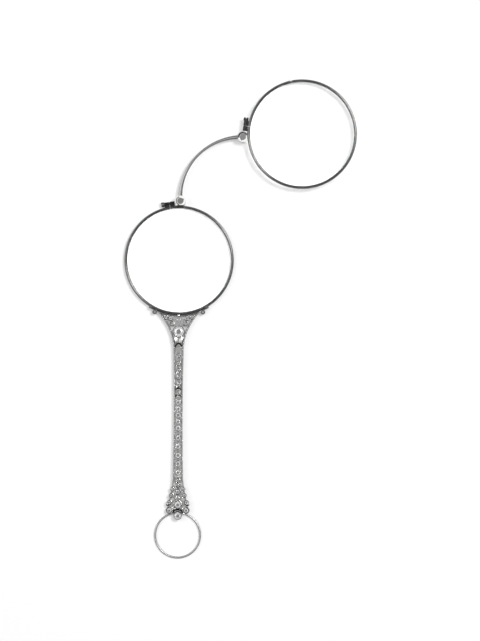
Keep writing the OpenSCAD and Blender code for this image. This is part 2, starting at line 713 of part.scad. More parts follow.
// The bail is a short tube under the foot, flat on top against the plate
bail_r = bail_bore + bail_wall - 0.02;
module ring_bail() {
    color(platinum) placed() at_drop(0, ring_drop) difference() {
        translate([-bail_l / 2, 0, 0]) {
            translate([0, 0, bail_z]) rotate([0, 90, 0]) cylinder(r = bail_r, h = bail_l, $fn = 48);
            translate([0, -bail_r, bail_z]) cube([bail_l, 2 * bail_r, plate_z - seat - bail_z]);
        }
        translate([-bail_l, 0, bail_z]) rotate([0, 90, 0]) cylinder(r = bail_bore, h = 2 * bail_l, $fn = 48);
        translate([-bail_l, -bail_r - 1, plate_z - seat]) cube([2 * bail_l, 2 * bail_r + 2, 2]);
    }
}
module suspension_ring() {
    color(bright) placed() at_drop(0, ring_drop, bail_z) rotate([ring_tilt, 0, 0])
        translate([0, -ring_r, 0]) rotate_extrude($fn = 180)
            translate([ring_r, 0]) circle(d = ring_wire, $fn = 32);
}

fixed_rim();
fixed_lens();
fixed_closing_barrels();
fixed_closing_screw();
fixed_hinge_fork();
fixed_hinge_pin();
fixed_hinge_spring();
bow();
moving_rim();
moving_lens();
moving_closing_barrels();
moving_closing_screw();
moving_hinge_fork();
moving_hinge_pin();
moving_hinge_spring();
catch_lug();
rim_cradle();
catch_button();
catch_spring();
side_rails();
head_plate();
head_scrolls();
head_collets();
head_diamonds();
main_collet();
main_diamond();
neck_leaves();
shaft_lattice();
lattice_collets();
lattice_diamonds();
shaft_links();
shaft_collets();
shaft_diamonds();
foot_plate();
foot_collets();
foot_diamonds();
finial_collet();
finial_diamond();
ring_bail();
suspension_ring();
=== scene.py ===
import bpy
import bmesh
import json
import math
import numpy as np
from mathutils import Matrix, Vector


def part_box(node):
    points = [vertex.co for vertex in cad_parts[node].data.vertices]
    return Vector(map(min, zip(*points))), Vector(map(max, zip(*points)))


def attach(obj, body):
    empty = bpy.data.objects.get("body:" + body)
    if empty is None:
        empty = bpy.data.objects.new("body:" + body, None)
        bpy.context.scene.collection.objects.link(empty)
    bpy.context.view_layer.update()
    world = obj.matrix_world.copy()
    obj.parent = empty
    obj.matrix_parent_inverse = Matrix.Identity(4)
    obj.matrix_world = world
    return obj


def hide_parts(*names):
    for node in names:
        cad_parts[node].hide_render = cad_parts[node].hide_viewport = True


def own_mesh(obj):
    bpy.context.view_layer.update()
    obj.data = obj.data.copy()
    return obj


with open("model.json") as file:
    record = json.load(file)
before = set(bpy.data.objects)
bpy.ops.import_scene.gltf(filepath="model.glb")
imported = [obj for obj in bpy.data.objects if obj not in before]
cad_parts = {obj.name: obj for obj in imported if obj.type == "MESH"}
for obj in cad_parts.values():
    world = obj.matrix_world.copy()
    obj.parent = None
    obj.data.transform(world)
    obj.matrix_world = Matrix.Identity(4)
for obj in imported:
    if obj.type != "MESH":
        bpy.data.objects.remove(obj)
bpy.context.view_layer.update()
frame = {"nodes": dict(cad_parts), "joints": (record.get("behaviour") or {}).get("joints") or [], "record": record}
mm = 0.001
print("frame loaded with", len(frame["nodes"]), "nodes")


# Places taken from the frame, all in millimetres
def nodePoints(node):
    mesh = frame["nodes"][node].data
    co = np.empty(len(mesh.vertices) * 3, np.float32)
    mesh.vertices.foreach_get("co", co)
    return co.reshape(-1, 3).astype(float) / mm


def nodeBox(node):
    low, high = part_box(node)
    return np.array(low) / mm, np.array(high) / mm


joints = {j["name"]: j for j in frame["joints"]}
pivots = {"fixed": np.array(joints["bow_fold"]["pos_m"]) / mm,
          "moving": np.array(joints["lens_fold"]["pos_m"]) / mm}
sideBodies = {"fixed": "handle", "moving": "folding_lens"}
hinge = {"bearing": 89, "reach": 20.8}    # the first hinge's angle and distance from the fixed lens centre
fixedCentre = pivots["fixed"][:2] - hinge["reach"] * np.array(
    [math.cos(math.radians(hinge["bearing"])), math.sin(math.radians(hinge["bearing"]))])
bailLow, bailHigh = nodeBox("ring_bail")
axisX = (bailLow[0] + bailHigh[0]) / 2
plateTop = nodeBox("head_plate")[1][2]
railTop = nodeBox("side_rails")[1][2]


def onHandle(x, drop, z=0.0):
    # x from the handle's middle line, drop down from the fixed lens centre
    x, drop = np.asarray(x, float), np.asarray(drop, float)
    return np.stack([axisX + x, fixedCentre[1] - drop, np.broadcast_to(z, x.shape)], -1)


# Mesh code
def gridFaces(rows, columns):
    # quads between neighbouring rows of a grid of points, the last column joined to the first
    r, c = np.meshgrid(np.arange(rows - 1), np.arange(columns), indexing="ij")
    n = (c + 1) % columns
    quads = [r * columns + c, r * columns + n, (r + 1) * columns + n, (r + 1) * columns + c]
    return np.stack(quads, -1).reshape(-1, 4)


def joinParts(parts):
    # several (points, faces) made one, each part's faces counted on from the points before it
    points, faces, count = [], [], 0
    for p, f in parts:
        points.append(p)
        faces += [tuple(int(i) + count for i in face) for face in f]
        count += len(p)
    return np.concatenate(points), faces


def copiesOf(base, faces, places, scale):
    # one small shape repeated at many places: each place plus scale * the shape's points
    places = np.asarray(places, float)
    points = places[:, None, :] + base[None] * scale
    steps = np.arange(len(places)) * len(base)
    return points.reshape(-1, 3), [tuple(int(i) + int(s) for i in face) for s in steps for face in faces]


def addPiece(name, parts, body, material, smooth=40, stands=()):
    # one closed mesh from its parts, riding on a body; edges sharper than the smooth angle stay sharp
    points, faces = joinParts(parts)
    mesh = bpy.data.meshes.new(name)
    mesh.from_pydata((points * mm).tolist(), [], faces)
    bm = bmesh.new()
    bm.from_mesh(mesh)
    bmesh.ops.remove_doubles(bm, verts=bm.verts, dist=1e-7)
    bmesh.ops.dissolve_degenerate(bm, dist=1e-8, edges=bm.edges)
    bmesh.ops.recalc_face_normals(bm, faces=bm.faces)
    bm.to_mesh(mesh)
    bm.free()
    mesh.polygons.foreach_set("use_smooth", [smooth > 0] * len(mesh.polygons))
    if smooth > 0:
        mesh.set_sharp_from_angle(angle=math.radians(smooth))
    mesh.materials.append(material)
    piece = bpy.data.objects.new(name, mesh)
    bpy.context.scene.collection.objects.link(piece)
    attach(piece, body)
    if stands:
        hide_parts(*stands)
    return piece


wireEnd = 0.6    # the length of a wire's rounded end, as a share of its radius


def wire(path, radius, sides=10, flat=1.0):
    # a round wire whose centre follows a path in a level plane; each ring is the path's point plus
    # radius * (cos b * sideways + flat * sin b * up), and the radius falls as a quarter circle at both ends
    path = np.asarray(path, float)
    step = np.gradient(path, axis=0)
    side = np.stack([-step[:, 1], step[:, 0], np.zeros(len(path))], -1)
    side /= np.linalg.norm(side, axis=1)[:, None] + 1e-12
    along = np.concatenate([[0], np.cumsum(np.linalg.norm(np.diff(path, axis=0), axis=1))])
    r = np.broadcast_to(radius, len(path))
    near = np.minimum(along, along[-1] - along) / (wireEnd * r.max())
    r = r * np.sqrt(np.clip(1 - (1 - np.clip(near, 0, 1)) ** 2, 0, 1))
    b = np.linspace(0, 2 * np.pi, sides, endpoint=False)
    up = np.array([0, 0, flat])
    points = (path[:, None] + r[:, None, None] * (np.cos(b)[None, :, None] * side[:, None]
                                                  + np.sin(b)[None, :, None] * up))
    return points.reshape(-1, 3), gridFaces(len(path), sides)


def softPath(corners, samples):
    # a smooth curve through a few points: Catmull-Rom, which is cubic between each pair of points
    p = np.asarray(corners, float)
    p = np.concatenate([[2 * p[0] - p[1]], p, [2 * p[-1] - p[-2]]])
    t = np.linspace(0, 1, samples, endpoint=False)[:, None]
    spans = [0.5 * (2 * b + (c - a) * t + (2 * a - 5 * b + 4 * c - d) * t ** 2
                    + (3 * b - a - 3 * c + d) * t ** 3)
             for a, b, c, d in zip(p[:-3], p[1:-2], p[2:-1], p[3:])]
    return np.concatenate(spans + [p[-2][None]])


domeSkirt = 0.05    # how far a dome goes down into the plate that carries it


def dome(centre, outline, height, rings=8, crease=None):
    # a low dome over an outline: z = height * (1 - rho * rho), with rho from 0 in the middle to 1 at the
    # edge, over a short skirt; a crease is a groove depth given by x and y
    rho = np.sin(np.linspace(0, np.pi / 2, rings))
    flat = rho[:, None, None] * outline[None]
    z = np.broadcast_to((height * (1 - rho ** 2))[:, None], flat.shape[:2])
    if crease is not None:
        z = z - crease(flat[..., 0], flat[..., 1])
    top = np.concatenate([flat, z[..., None]], -1)
    foot = np.concatenate([outline, np.full((len(outline), 1), -domeSkirt)], -1)[None]
    pole = np.concatenate([outline * 0, np.full((len(outline), 1), -domeSkirt)], -1)[None]
    points = np.concatenate([top, foot, pole]) + np.asarray(centre, float)
    return points.reshape(-1, 3), gridFaces(rings + 2, len(outline))


def ellipse(rx, ry, turn, steps=28):
    # points (rx * cos a, ry * sin a), turned by an angle
    a = np.linspace(0, 2 * np.pi, steps, endpoint=False)
    x, y = rx * np.cos(a), ry * np.sin(a)
    c, s = math.cos(math.radians(turn)), math.sin(math.radians(turn))
    return np.stack([x * c - y * s, x * s + y * c], -1)


def revolve(profile, centre, steps):
    # a profile of (radius, height) points carried round the upright line through the centre
    profile = np.asarray(profile, float)
    a = np.linspace(0, 2 * np.pi, steps, endpoint=False)
    r, z = profile[:, 0][:, None], profile[:, 1][:, None]
    points = np.stack([r * np.cos(a), r * np.sin(a), z + 0 * a], -1) + np.asarray(centre, float)
    return points.reshape(-1, 3), gridFaces(len(profile), steps)


hoopSides = 6


def hoop(centre, radius, thick, steps=40):
    # a small closed ring of round wire lying level: its section is radius + thick * cos b, thick * sin b
    b = np.linspace(0, 2 * np.pi, hoopSides + 1)
    return revolve(np.stack([radius + thick * np.cos(b), thick * np.sin(b)], -1), centre, steps)


grain = {"sides": 8, "rings": 3, "neck": 0.85, "foot": -0.6}


def grainShape():
    # half a ball of radius 1, at (cos v, sin v) for v from 0 to a quarter turn, over a short neck
    lift = np.linspace(0, np.pi / 2, grain["rings"] + 1)
    ball = [(math.cos(v), math.sin(v)) for v in lift]
    return revolve([(0, grain["foot"]), (grain["neck"], grain["foot"])] + ball, (0, 0, 0), grain["sides"])


grainPoints, grainFaces = grainShape()


def grainsAlong(path, pitch, radius):
    # grains at even distances along a path
    path = np.asarray(path, float)
    along = np.concatenate([[0], np.cumsum(np.linalg.norm(np.diff(path, axis=0), axis=1))])
    at = np.linspace(pitch / 2, along[-1] - pitch / 2, max(2, int(along[-1] / pitch)))
    places = np.stack([np.interp(at, along, path[:, k]) for k in range(3)], -1)
    return copiesOf(grainPoints, grainFaces, places, radius)


# Materials
def newMaterial(name):
    material = bpy.data.materials.new(name)
    material.use_nodes = True
    nodes = material.node_tree.nodes
    return material, nodes, material.node_tree.links, nodes["Principled BSDF"]


def node(nodes, kind, **values):
    # a new node with its named inputs or settings filled in
    made = nodes.new(kind)
    for key, value in values.items():
        if key in made.inputs:
            made.inputs[key].default_value = value
        else:
            setattr(made, key, value)
    return made


# Each metal's colour in the open and its dark colour of painted shade and patina in the hollows, its roughness,
# the strength of its file marks, how far round a point a hollow is felt (mm) and the open share between which it
# goes dark to bright
metalMarks = {"patchScale": 900, "patchDetail": 4, "patchLow": 0.7, "patchHigh": 1.4, "markScale": 3500,
              "markDetail": 3, "markStretch": (1, 0.5, 1), "markDepth": 0.05, "shadeSamples": 8}
finishes = {
    "castPlatinum": {"bright": (0.62, 0.62, 0.61), "shadeDark": (0.008, 0.008, 0.009), "roughness": 0.33,
                     "brush": 0.6, "hollow": 0.6, "open": (0.35, 0.9),
                     # painted shade and patina on the low plates, between two heights, with the share of bright
                     # left below
                     "shadeAndPatina": {"from": 1.3, "to": 1.75, "left": 0.22}},
    # a lighter copy of the platinum for grains, scroll wires and small leaves, as painted highlight
    "beadPlatinumLit": {"bright": (0.85, 0.85, 0.84), "shadeDark": (0.02, 0.02, 0.02), "roughness": 0.25,
                     "brush": 0.1, "hollow": 0.3, "open": (0.3, 0.8)},
    # a darker copy of the platinum for the rims, cradle and bail, as painted shade
    "wirePlatinumShaded": {"bright": (0.13, 0.13, 0.128), "shadeDark": (0.015, 0.015, 0.016), "roughness": 0.2,
                     "brush": 0.05, "hollow": 0.9, "open": (0.3, 1.0)},
    # a darker copy of the platinum for the ring, as painted shade
    "ringPlatinumShaded": {"bright": (0.38, 0.38, 0.375), "shadeDark": (0.03, 0.03, 0.03), "roughness": 0.38,
                     "brush": 0.05, "hollow": 0.5, "open": (0.3, 1.0)},
    # a darker copy of the platinum for the side rails, as painted shade
    "railPlatinumShaded": {"bright": (0.29, 0.29, 0.287), "shadeDark": (0.012, 0.012, 0.013), "roughness": 0.3,
                     "brush": 0.2, "hollow": 0.6, "open": (0.3, 0.9)},
    # a darker copy of the platinum for the neck leaves, as painted shade
    "leafPlatinumShaded": {"bright": (0.52, 0.52, 0.515), "shadeDark": (0.01, 0.01, 0.01), "roughness": 0.3,
                     "brush": 0.8, "hollow": 0.4, "open": (0.3, 0.9)},
    # a near-black copy of the metal for wires and rings of painted shade
    "shadeBlack": {"bright": (0.012, 0.012, 0.013), "shadeDark": (0.004, 0.004, 0.004), "roughness": 0.6,
                  "brush": 0.2, "hollow": 0.4, "open": (0.1, 0.6)},
    # a darker copy of the platinum for the bow, as painted shade
    "bowPlatinumShaded": {"bright": (0.34, 0.34, 0.335), "shadeDark": (0.02, 0.02, 0.02), "roughness": 0.1,
                    "brush": 0.03, "hollow": 0.6, "open": (0.3, 0.9)},
    # a near-black copy of the platinum for the closing blocks and screw, as painted shade
    "blockPlatinumShaded": {"bright": (0.03, 0.03, 0.03), "shadeDark": (0.01, 0.01, 0.01), "roughness": 0.25,
                      "brush": 0.1, "hollow": 0.6, "open": (0.3, 1.0)},
    # polished platinum for the hinge forks, lighter than the cast metal as a painted highlight
    "polishedPlatinumLit": {"bright": (0.86, 0.86, 0.85), "shadeDark": (0.03, 0.03, 0.03), "roughness": 0.12,
                         "brush": 0.04, "hollow": 0.6, "open": (0.3, 0.9)},
    "steelMetal": {"bright": (0.15, 0.15, 0.15), "shadeDark": (0.03, 0.03, 0.03), "roughness": 0.34, "brush": 0.2,
                   "hollow": 0.25, "open": (0.1, 0.6)},
}


def preciousMetal(name):
    # cast and polished metal: painted shade and patina darken it in the hollows, with faint patches and fine file
    # marks
    finish = finishes[name]
    shadeDark, shadeAndPatina = (*finish["shadeDark"], 1), finish.get("shadeAndPatina")
    material, nodes, links, shader = newMaterial(name)
    coords = node(nodes, "ShaderNodeTexCoord")
    # painted shade and patina: ambient occlusion pulls the colour towards the dark one in the hollows
    occlusion = node(nodes, "ShaderNodeAmbientOcclusion", samples=metalMarks["shadeSamples"],
                     Distance=finish["hollow"] * mm)
    ramp = node(nodes, "ShaderNodeMapRange", interpolation_type="SMOOTHSTEP")
    ramp.inputs["From Min"].default_value, ramp.inputs["From Max"].default_value = finish["open"]
    links.new(occlusion.outputs["AO"], ramp.inputs["Value"])
    hollowShadeMix = node(nodes, "ShaderNodeMix", data_type="RGBA")
    hollowShadeMix.inputs["A"].default_value = shadeDark
    hollowShadeMix.inputs["B"].default_value = (*finish["bright"], 1)
    links.new(ramp.outputs["Result"], hollowShadeMix.inputs["Factor"])
    colour = hollowShadeMix
    if shadeAndPatina:
        # painted shade and patina: the metal stays dark below one height and is bright above another
        height = node(nodes, "ShaderNodeSeparateXYZ")
        links.new(coords.outputs["Object"], height.inputs["Vector"])
        shadeAndPatinaHeight = node(nodes, "ShaderNodeMapRange", interpolation_type="SMOOTHSTEP")
        shadeAndPatinaHeight.inputs["From Min"].default_value = shadeAndPatina["from"] * mm
        shadeAndPatinaHeight.inputs["From Max"].default_value = shadeAndPatina["to"] * mm
        shadeAndPatinaHeight.inputs["To Min"].default_value = shadeAndPatina["left"]
        links.new(height.outputs["Z"], shadeAndPatinaHeight.inputs["Value"])
        shadeAndPatinaMix = node(nodes, "ShaderNodeMix", data_type="RGBA")
        shadeAndPatinaMix.inputs["A"].default_value = shadeDark
        links.new(shadeAndPatinaHeight.outputs["Result"], shadeAndPatinaMix.inputs["Factor"])
        links.new(hollowShadeMix.outputs["Result"], shadeAndPatinaMix.inputs["B"])
        colour = shadeAndPatinaMix
    links.new(colour.outputs["Result"], shader.inputs["Base Color"])
    shader.inputs["Metallic"].default_value = 1
    patches = node(nodes, "ShaderNodeTexNoise", Scale=metalMarks["patchScale"],
                   Detail=metalMarks["patchDetail"])
    links.new(coords.outputs["Object"], patches.inputs["Vector"])
    rough = node(nodes, "ShaderNodeMapRange")
    rough.inputs["To Min"].default_value = finish["roughness"] * metalMarks["patchLow"]
    rough.inputs["To Max"].default_value = finish["roughness"] * metalMarks["patchHigh"]
    links.new(patches.outputs["Fac"], rough.inputs["Value"])
    links.new(rough.outputs["Result"], shader.inputs["Roughness"])
    marks = node(nodes, "ShaderNodeTexNoise", Scale=metalMarks["markScale"], Detail=metalMarks["markDetail"])
    stretch = node(nodes, "ShaderNodeMapping")
    stretch.inputs["Scale"].default_value = metalMarks["markStretch"]
    links.new(coords.outputs["Object"], stretch.inputs["Vector"])
    links.new(stretch.outputs["Vector"], marks.inputs["Vector"])
    bump = node(nodes, "ShaderNodeBump", Strength=finish["brush"], Distance=metalMarks["markDepth"] * mm)
    links.new(marks.outputs["Fac"], bump.inputs["Height"])
    links.new(bump.outputs["Normal"], shader.inputs["Normal"])
    return material


glass = {"colour": (0.985, 0.99, 0.99), "index": 1.5}


def clearGlass(name):
    # clear glass that lets the light through to what lies under it
    material, nodes, links, shader = newMaterial(name)
    shader.inputs["Base Color"].default_value = (*glass["colour"], 1)
    shader.inputs["Roughness"].default_value = 0
    shader.inputs["IOR"].default_value = glass["index"]
    shader.inputs["Transmission Weight"].default_value = 1
    path = node(nodes, "ShaderNodeLightPath")
    clear = node(nodes, "ShaderNodeBsdfTransparent")
    mix = node(nodes, "ShaderNodeMixShader")
    links.new(path.outputs["Is Shadow Ray"], mix.inputs["Fac"])
    links.new(shader.outputs["BSDF"], mix.inputs[1])
    links.new(clear.outputs["BSDF"], mix.inputs[2])
    links.new(mix.outputs["Shader"], nodes["Material Output"].inputs["Surface"])
    return material


brilliant = {"roughness": 0.05, "index": 2.2, "clear": 0.25}


def stoneMaterial(name):
    # cut stones: each facet's painted light and shade comes from the mesh, under a hard clear surface
    material, nodes, links, shader = newMaterial(name)
    tone = node(nodes, "ShaderNodeAttribute", attribute_name="paintedFacetLight")
    links.new(tone.outputs["Color"], shader.inputs["Base Color"])
    shader.inputs["Roughness"].default_value = brilliant["roughness"]
    shader.inputs["IOR"].default_value = brilliant["index"]
    shader.inputs["Transmission Weight"].default_value = brilliant["clear"]
    return material


metals = {name: preciousMetal(name) for name in finishes}
lensGlass = clearGlass("lensGlass")
brilliantGlass = stoneMaterial("brilliantGlass")

slotMaterials = {"platinum": metals["castPlatinum"], "polished_platinum": metals["polishedPlatinumLit"],
                 "steel": metals["steelMetal"], "lens_glass": lensGlass, "diamond": brilliantGlass}
# parts that take a darker copy of the platinum as painted shade, and the hinge forks a lighter one as painted
# highlight
nodeMetals = {"rim_cradle": "wirePlatinumShaded", "side_rails": "railPlatinumShaded", "ring_bail": "wirePlatinumShaded",
              "fixed_closing_barrels": "blockPlatinumShaded", "moving_closing_barrels": "blockPlatinumShaded",
              "moving_closing_screw": "blockPlatinumShaded", "fixed_hinge_fork": "polishedPlatinumLit",
              "moving_hinge_fork": "polishedPlatinumLit"}
for part in frame["record"]["subparts"]:
    mesh = frame["nodes"][part["node"]].data
    mesh.materials.clear()
    metal = metals.get(nodeMetals.get(part["node"]))
    mesh.materials.append(metal or slotMaterials[part["material_slot"]])
print("materials made")


# Stones
oneTable = 0.66    # corners nearer than this belong to one stone's table


def stoneSpots(nodeName):
    # each stone of a node as (x, y, girdle radius, top): its table's corners lie close together, so they
    # are grouped by distance, and its radius is that of the points nearest to its middle
    points = nodePoints(nodeName)
    top = points[:, 2].max()
    corners = points[points[:, 2] > top - 1e-3][:, :2]
    near = np.linalg.norm(corners[:, None] - corners[None], axis=-1) < oneTable
    label = np.arange(len(corners))
    for _ in range(len(corners)):
        label = np.where(near, label[None], len(corners)).min(1)
    middles = np.array([corners[label == k].mean(0) for k in np.unique(label)])
    nearest = np.linalg.norm(points[:, None, :2] - middles[None], axis=-1)
    owner, reach = nearest.argmin(1), nearest.min(1)
    radii = np.array([reach[owner == k].max() for k in range(len(middles))])
    return np.column_stack([middles, radii, np.full(len(middles), top)])


cut = {"table": 0.56, "star": 0.79, "starHeight": 0.55, "girdle": 0.03, "lower": 0.24, "lowerDepth": -0.72}


def brilliantCut():
    # a round brilliant of girdle radius 1: rings of corners for the table, the crown's break, both edges
    # of the girdle, the pavilion's break and the point, each at its share of crown height or depth
    eight = np.radians(45) * np.arange(8)
    sixteen = np.radians(22.5) * np.arange(16)

    def ring(r, a, z):
        return np.stack([r * np.cos(a), r * np.sin(a), np.full(len(a), z)], -1)

    between = eight + np.radians(22.5)
    points = np.concatenate([ring(cut["table"], eight, 1.0), ring(cut["star"], between, cut["starHeight"]),
                             ring(1, sixteen, cut["girdle"]), ring(1, sixteen, -cut["girdle"]),
                             ring(cut["lower"], between, cut["lowerDepth"]), [[0, 0, -1.0]]])
    faces = [tuple(range(8))]
    for k in range(8):
        t, n, b, p = k, (k + 1) % 8, 8 + k, 8 + (k + 7) % 8
        g0, g1, g2 = 16 + 2 * k, 16 + (2 * k + 1) % 16, 16 + (2 * k + 2) % 16
        l, m = 48 + k, 48 + (k + 7) % 8
        faces += [(t, b, n), (t, p, g0, b), (b, g0, g1), (b, g1, g2),
                  (g0, g0 + 16, g1 + 16, g1), (g1, g1 + 16, g2 + 16, g2),
                  (56, l, g0 + 16, m), (l, g1 + 16, g0 + 16), (l, g2 + 16, g1 + 16)]
    return points, faces


# levels of painted light on the facets: shade on the table, glints on the stars and crown, and their seeded spread
facetLighting = {"table": 0.10, "star": 0.90, "crown": 0.72, "spread": 0.42, "seed": 7, "tableFrom": 0.98,
              "starFrom": 0.8, "limits": (0.02, 0.95), "blue": 1.01}


def paintFacetLight(piece):
    # painted light on a facet: painted shade on the level table, painted glints on the slopes round it, with a
    # seeded spread
    mesh = piece.data
    count = len(mesh.polygons)
    normals = np.empty(count * 3, np.float32)
    mesh.polygons.foreach_get("normal", normals)
    level = normals.reshape(-1, 3)[:, 2]
    slope = np.where(level > facetLighting["starFrom"], facetLighting["star"], facetLighting["crown"])
    tone = np.where(level > facetLighting["tableFrom"], facetLighting["table"], slope)
    spread = np.random.default_rng(facetLighting["seed"]).uniform(-1, 1, count) * facetLighting["spread"]
    tone = np.clip(tone * (1 + spread), *facetLighting["limits"])
    sides = np.empty(count, np.int32)
    mesh.polygons.foreach_get("loop_total", sides)
    colours = np.repeat(np.stack([tone, tone, tone * facetLighting["blue"], np.ones(count)], -1), sides, axis=0)
    layer = mesh.color_attributes.new("paintedFacetLight", "FLOAT_COLOR", "CORNER")
    layer.data.foreach_set("color", colours.ravel())


# Heights, depths and distances of a set stone; a collet's outside is (girdle radius + play) / seat
stones = {"crown": 0.25, "depth": 0.72, "seat": 0.8, "play": 0.01, "hold": 0.93, "grainRadius": 0.13,
          "grainDrop": 0.06, "lipGrain": 0.062, "lipPitch": 0.16, "lipInset": 0.13, "lipDrop": 0.03,
          "edgeInset": 0.07, "edgeWire": 0.115, "edgeProud": 0.005}
stoneNodes = {"head_diamonds": "head_collets", "main_diamond": "main_collet",
              "lattice_diamonds": "lattice_collets", "shaft_diamonds": "shaft_collets",
              "foot_diamonds": "foot_collets", "finial_diamond": "finial_collet"}
cutPoints, cutFaces = brilliantCut()
allSpots = {}
for nodeName, colletName in stoneNodes.items():
    spots = stoneSpots(nodeName)
    allSpots[nodeName] = spots
    x, y, r, top = spots.T
    girdleZ = top - stones["crown"]
    above = cutPoints[:, 2] > 0
    heights = np.where(above[None], stones["crown"], stones["depth"] * r[:, None])
    size = np.stack([np.broadcast_to(r[:, None], heights.shape)] * 2 + [heights], -1)
    points = np.stack([x, y, girdleZ], -1)[:, None] + cutPoints[None] * size
    faces = [tuple(i + len(cutPoints) * k for i in face) for k in range(len(spots)) for face in cutFaces]
    piece = addPiece(nodeName.replace("diamond", "brilliant"), [(points.reshape(-1, 3), faces)], "handle",
                     brilliantGlass, smooth=0, stands=[nodeName])
    paintFacetLight(piece)
    # grains that hold each stone, and the milled lip round it
    lipTop = nodeBox(colletName)[1][2]
    colletR = (r + stones["play"]) / stones["seat"]
    turns = np.radians(45 + 90 * np.arange(4))
    hold = stones["hold"] * r[:, None]
    held = np.stack([x[:, None] + hold * np.cos(turns), y[:, None] + hold * np.sin(turns),
                     np.full((len(r), 4), lipTop - stones["grainDrop"])], -1).reshape(-1, 3)
    parts = [copiesOf(grainPoints, grainFaces, held, stones["grainRadius"])]
    for cx, cy, rim in zip(x, y, colletR):
        a = np.linspace(0, 2 * np.pi, int(2 * np.pi * rim / stones["lipPitch"]), endpoint=False)
        lipR = rim - stones["lipInset"]
        lip = np.stack([cx + lipR * np.cos(a), cy + lipR * np.sin(a),
                        np.full(len(a), lipTop - stones["lipDrop"])], -1)
        parts.append(copiesOf(grainPoints, grainFaces, lip, stones["lipGrain"]))
    addPiece(colletName + "_grains", parts, "handle", metals["beadPlatinumLit"])
    # a black ring just inside each collet's lip: painted shade round the stone
    edgeZ = lipTop - stones["edgeWire"] + stones["edgeProud"]
    edges = [hoop((cx, cy, edgeZ), rim - stones["edgeInset"], stones["edgeWire"])
             for cx, cy, rim in zip(x, y, colletR)]
    addPiece(colletName + "_edges", edges, "handle", metals["shadeBlack"])
print("stones set:", sum(len(s) for s in allSpots.values()))


# Milled rows along the side rails, and black lines of painted shade along their edges
rails = {"pitch": 0.3, "grain": 0.125, "inset": 0.2, "sunk": 0.05, "edge": 0.07, "edgeInsets": (0.05, 0.38),
         "from": 17.5, "to": 77.2, "steps": 400}
# The handle's outline in mm, with its places as drops from the fixed lens centre
handleShape = {"flareFrom": 15.769, "flareLength": 16.9, "flareWidth": 19.829, "flareCurve": 2.3,
               "neck": 3.52, "waist": 3.04, "shaftMiddle": 54.459, "footFrom": 76.249, "footLength": 12.0,
               "footWidth": 8.1, "footCurve": 1.4}


def shaftHalf(drop):
    # half the shaft's width: the waist's half, and more with the square of the distance from its middle
    h = handleShape
    away = (drop - h["shaftMiddle"]) / (h["shaftMiddle"] - h["flareFrom"] - h["flareLength"])
    return h["waist"] / 2 + (h["neck"] - h["waist"]) / 2 * away ** 2


def handleHalf(drop):
    # half the handle's width: the shaft's, flared upwards by one power and downwards by another
    h = handleShape
    flareTo = h["flareFrom"] + h["flareLength"]
    up = ((h["flareWidth"] - h["neck"]) / 2
          * np.clip(1 - (drop - h["flareFrom"]) / h["flareLength"], 0, 1) ** h["flareCurve"])
    down = ((h["footWidth"] / 2 - shaftHalf(h["footFrom"]))
            * np.clip((drop - h["footFrom"]) / h["footLength"], 0, 1) ** h["footCurve"])
    return shaftHalf(np.clip(drop, flareTo, h["footFrom"])) + up + down


def railRow(side, inset, z):
    # a line along one rail, set in from its outer edge at right angles to it
    return np.stack([axisX + side * (rowX - inset / lean), rowY + inset * slopeX / lean,
                     np.full(len(rowX), z)], -1)


rowDrop = np.linspace(rails["from"], rails["to"], rails["steps"])
rowX, rowY = handleHalf(rowDrop), fixedCentre[1] - rowDrop
slopeX = np.gradient(rowX, rowY)
lean = np.sqrt(1 + slopeX ** 2)
milledRows = [grainsAlong(railRow(side, rails["inset"], railTop - rails["sunk"]), rails["pitch"],
                          rails["grain"]) for side in (-1, 1)]
addPiece("rail_milling", milledRows, "handle", metals["beadPlatinumLit"])
# two black wires along each rail: painted shade along its edges
railShadeLines = [wire(railRow(side, inset, railTop - rails["edge"]), rails["edge"])
             for side in (-1, 1) for inset in rails["edgeInsets"]]
addPiece("rail_edges", railShadeLines, "handle", metals["shadeBlack"])
print("rails milled")


# Scrollwork, leaves and black lines of painted shade on the plates, in (x, drop) from the handle's middle line
scrolls = {"wire": 0.10, "off": 0.14, "lift": 0.07, "headTurn": (200, 20), "headGrow": 0.35,
           "plateTurn": (-85, 80), "plateGrow": 0.25, "middle": 0.2, "steps": 30, "samples": 12}
leafPair = {"x": 0.95, "drop": 28.1, "across": 0.72, "along": 1.42, "turn": 14, "height": 0.26, "vein": 0.10,
            "veinWidth": 0.12, "stem": [(1.3, 31.0), (0.6, 30.35), (0, 30.0)], "stemWire": 0.12, "lift": 0.05}
# Each chevron, a black stroke of painted shade, as (drop of its point, reach to either side, fall, half thickness)
chevrons = {"places": [(29.15, 1.7, 1.7, 0.2), (44.9, 1.4, 1.1, 0.18), (47.25, 1.4, 1.2, 0.18)],
            "elbow": (0.45, 0.3), "lift": 0.14, "flat": 0.7}
# black lines of painted shade on the foot: a cup on either side, and an arch over the finial
footLines = {"cup": [(3.98, 85.75), (3.75, 86.1), (3.3, 86.15), (2.75, 85.75), (2.2, 84.7)],
             "cupWire": 0.195, "cupLift": 0.16,
             "arch": [(1.72, 88.85), (1.45, 88.15), (0.85, 87.75), (0.0, 87.6)],
             "archWire": 0.247, "archFlat": 0.7, "archLift": 0.03}
# a black ring of painted shade round each foot and head stone
stoneRing = {"off": 0.03, "lift": 0.01, "wire": 0.06}


def handlePath(corners, z):
    # a smooth path at one height through points given as (x, drop)
    c = softPath(corners, scrolls["samples"])
    return onHandle(c[:, 0], c[:, 1], z)


